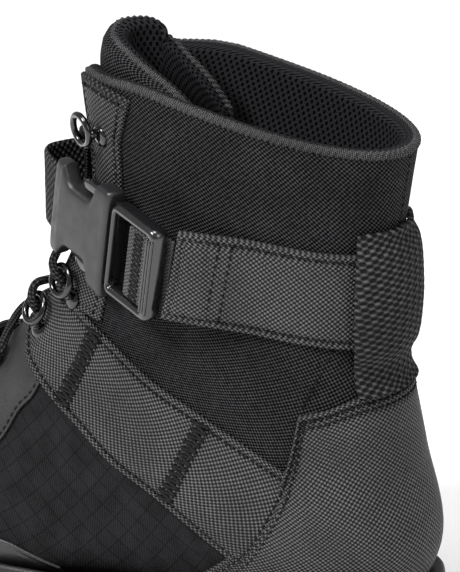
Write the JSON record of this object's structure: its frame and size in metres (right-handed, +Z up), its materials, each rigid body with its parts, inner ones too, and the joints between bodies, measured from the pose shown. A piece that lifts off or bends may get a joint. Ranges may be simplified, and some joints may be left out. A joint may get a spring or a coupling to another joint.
{
  "type": "tactical boot",
  "caption": "Black lace-up tactical boot for the left foot, with a webbing strap and side-release buckle round the shaft, a heel pull loop and a lugged sole.",
  "frame": {"origin": "on the floor, under the middle of the boot's box", "axes": "+Z up, the heel towards +Y and the toe towards -Y, the outer (lateral) side and its buckle towards +X"},
  "size_m": [0.1206, 0.318, 0.2566],
  "materials": {
    "rubber": "matt moulded",
    "foam": "matt, finely grained",
    "lining": "knitted mesh",
    "plain_nylon": "plain weave, matt",
    "ballistic_nylon": "dotted diagonal weave, slight sheen",
    "coated_leather": "coated, low sheen",
    "webbing": "ribbed",
    "plastic": "satin moulded",
    "black_metal": "gloss black"
  },
  "bodies": {
    "root": {"outsole": "rubber", "midsole": "foam", "insole_board": "lining", "upper": "plain_nylon", "tongue": "plain_nylon", "toe_cap": "coated_leather", "heel_counter": "ballistic_nylon", "eyestay_lateral": "coated_leather", "facing_lateral": "ballistic_nylon", "ankle_strap_lateral": "ballistic_nylon", "eyestay_medial": "coated_leather", "facing_medial": "ballistic_nylon", "ankle_strap_medial": "ballistic_nylon", "collar_strap": "ballistic_nylon", "pull_loop": "webbing", "buckle_male": "plastic", "buckle_female": "plastic", "buckle_tape": "webbing", "front_webbing": "webbing", "lace_loop_1_lateral": "black_metal", "lace_loop_2_lateral": "black_metal", "lace_loop_3_lateral": "black_metal", "lace_ring_1_lateral": "black_metal", "lace_ring_2_lateral": "black_metal", "lace_ring_3_lateral": "black_metal", "lace_loop_1_medial": "black_metal", "lace_loop_2_medial": "black_metal", "lace_loop_3_medial": "black_metal", "lace_ring_1_medial": "black_metal", "lace_ring_2_medial": "black_metal", "lace_ring_3_medial": "black_metal", "lace": "webbing"}
  },
  "joints": []
}
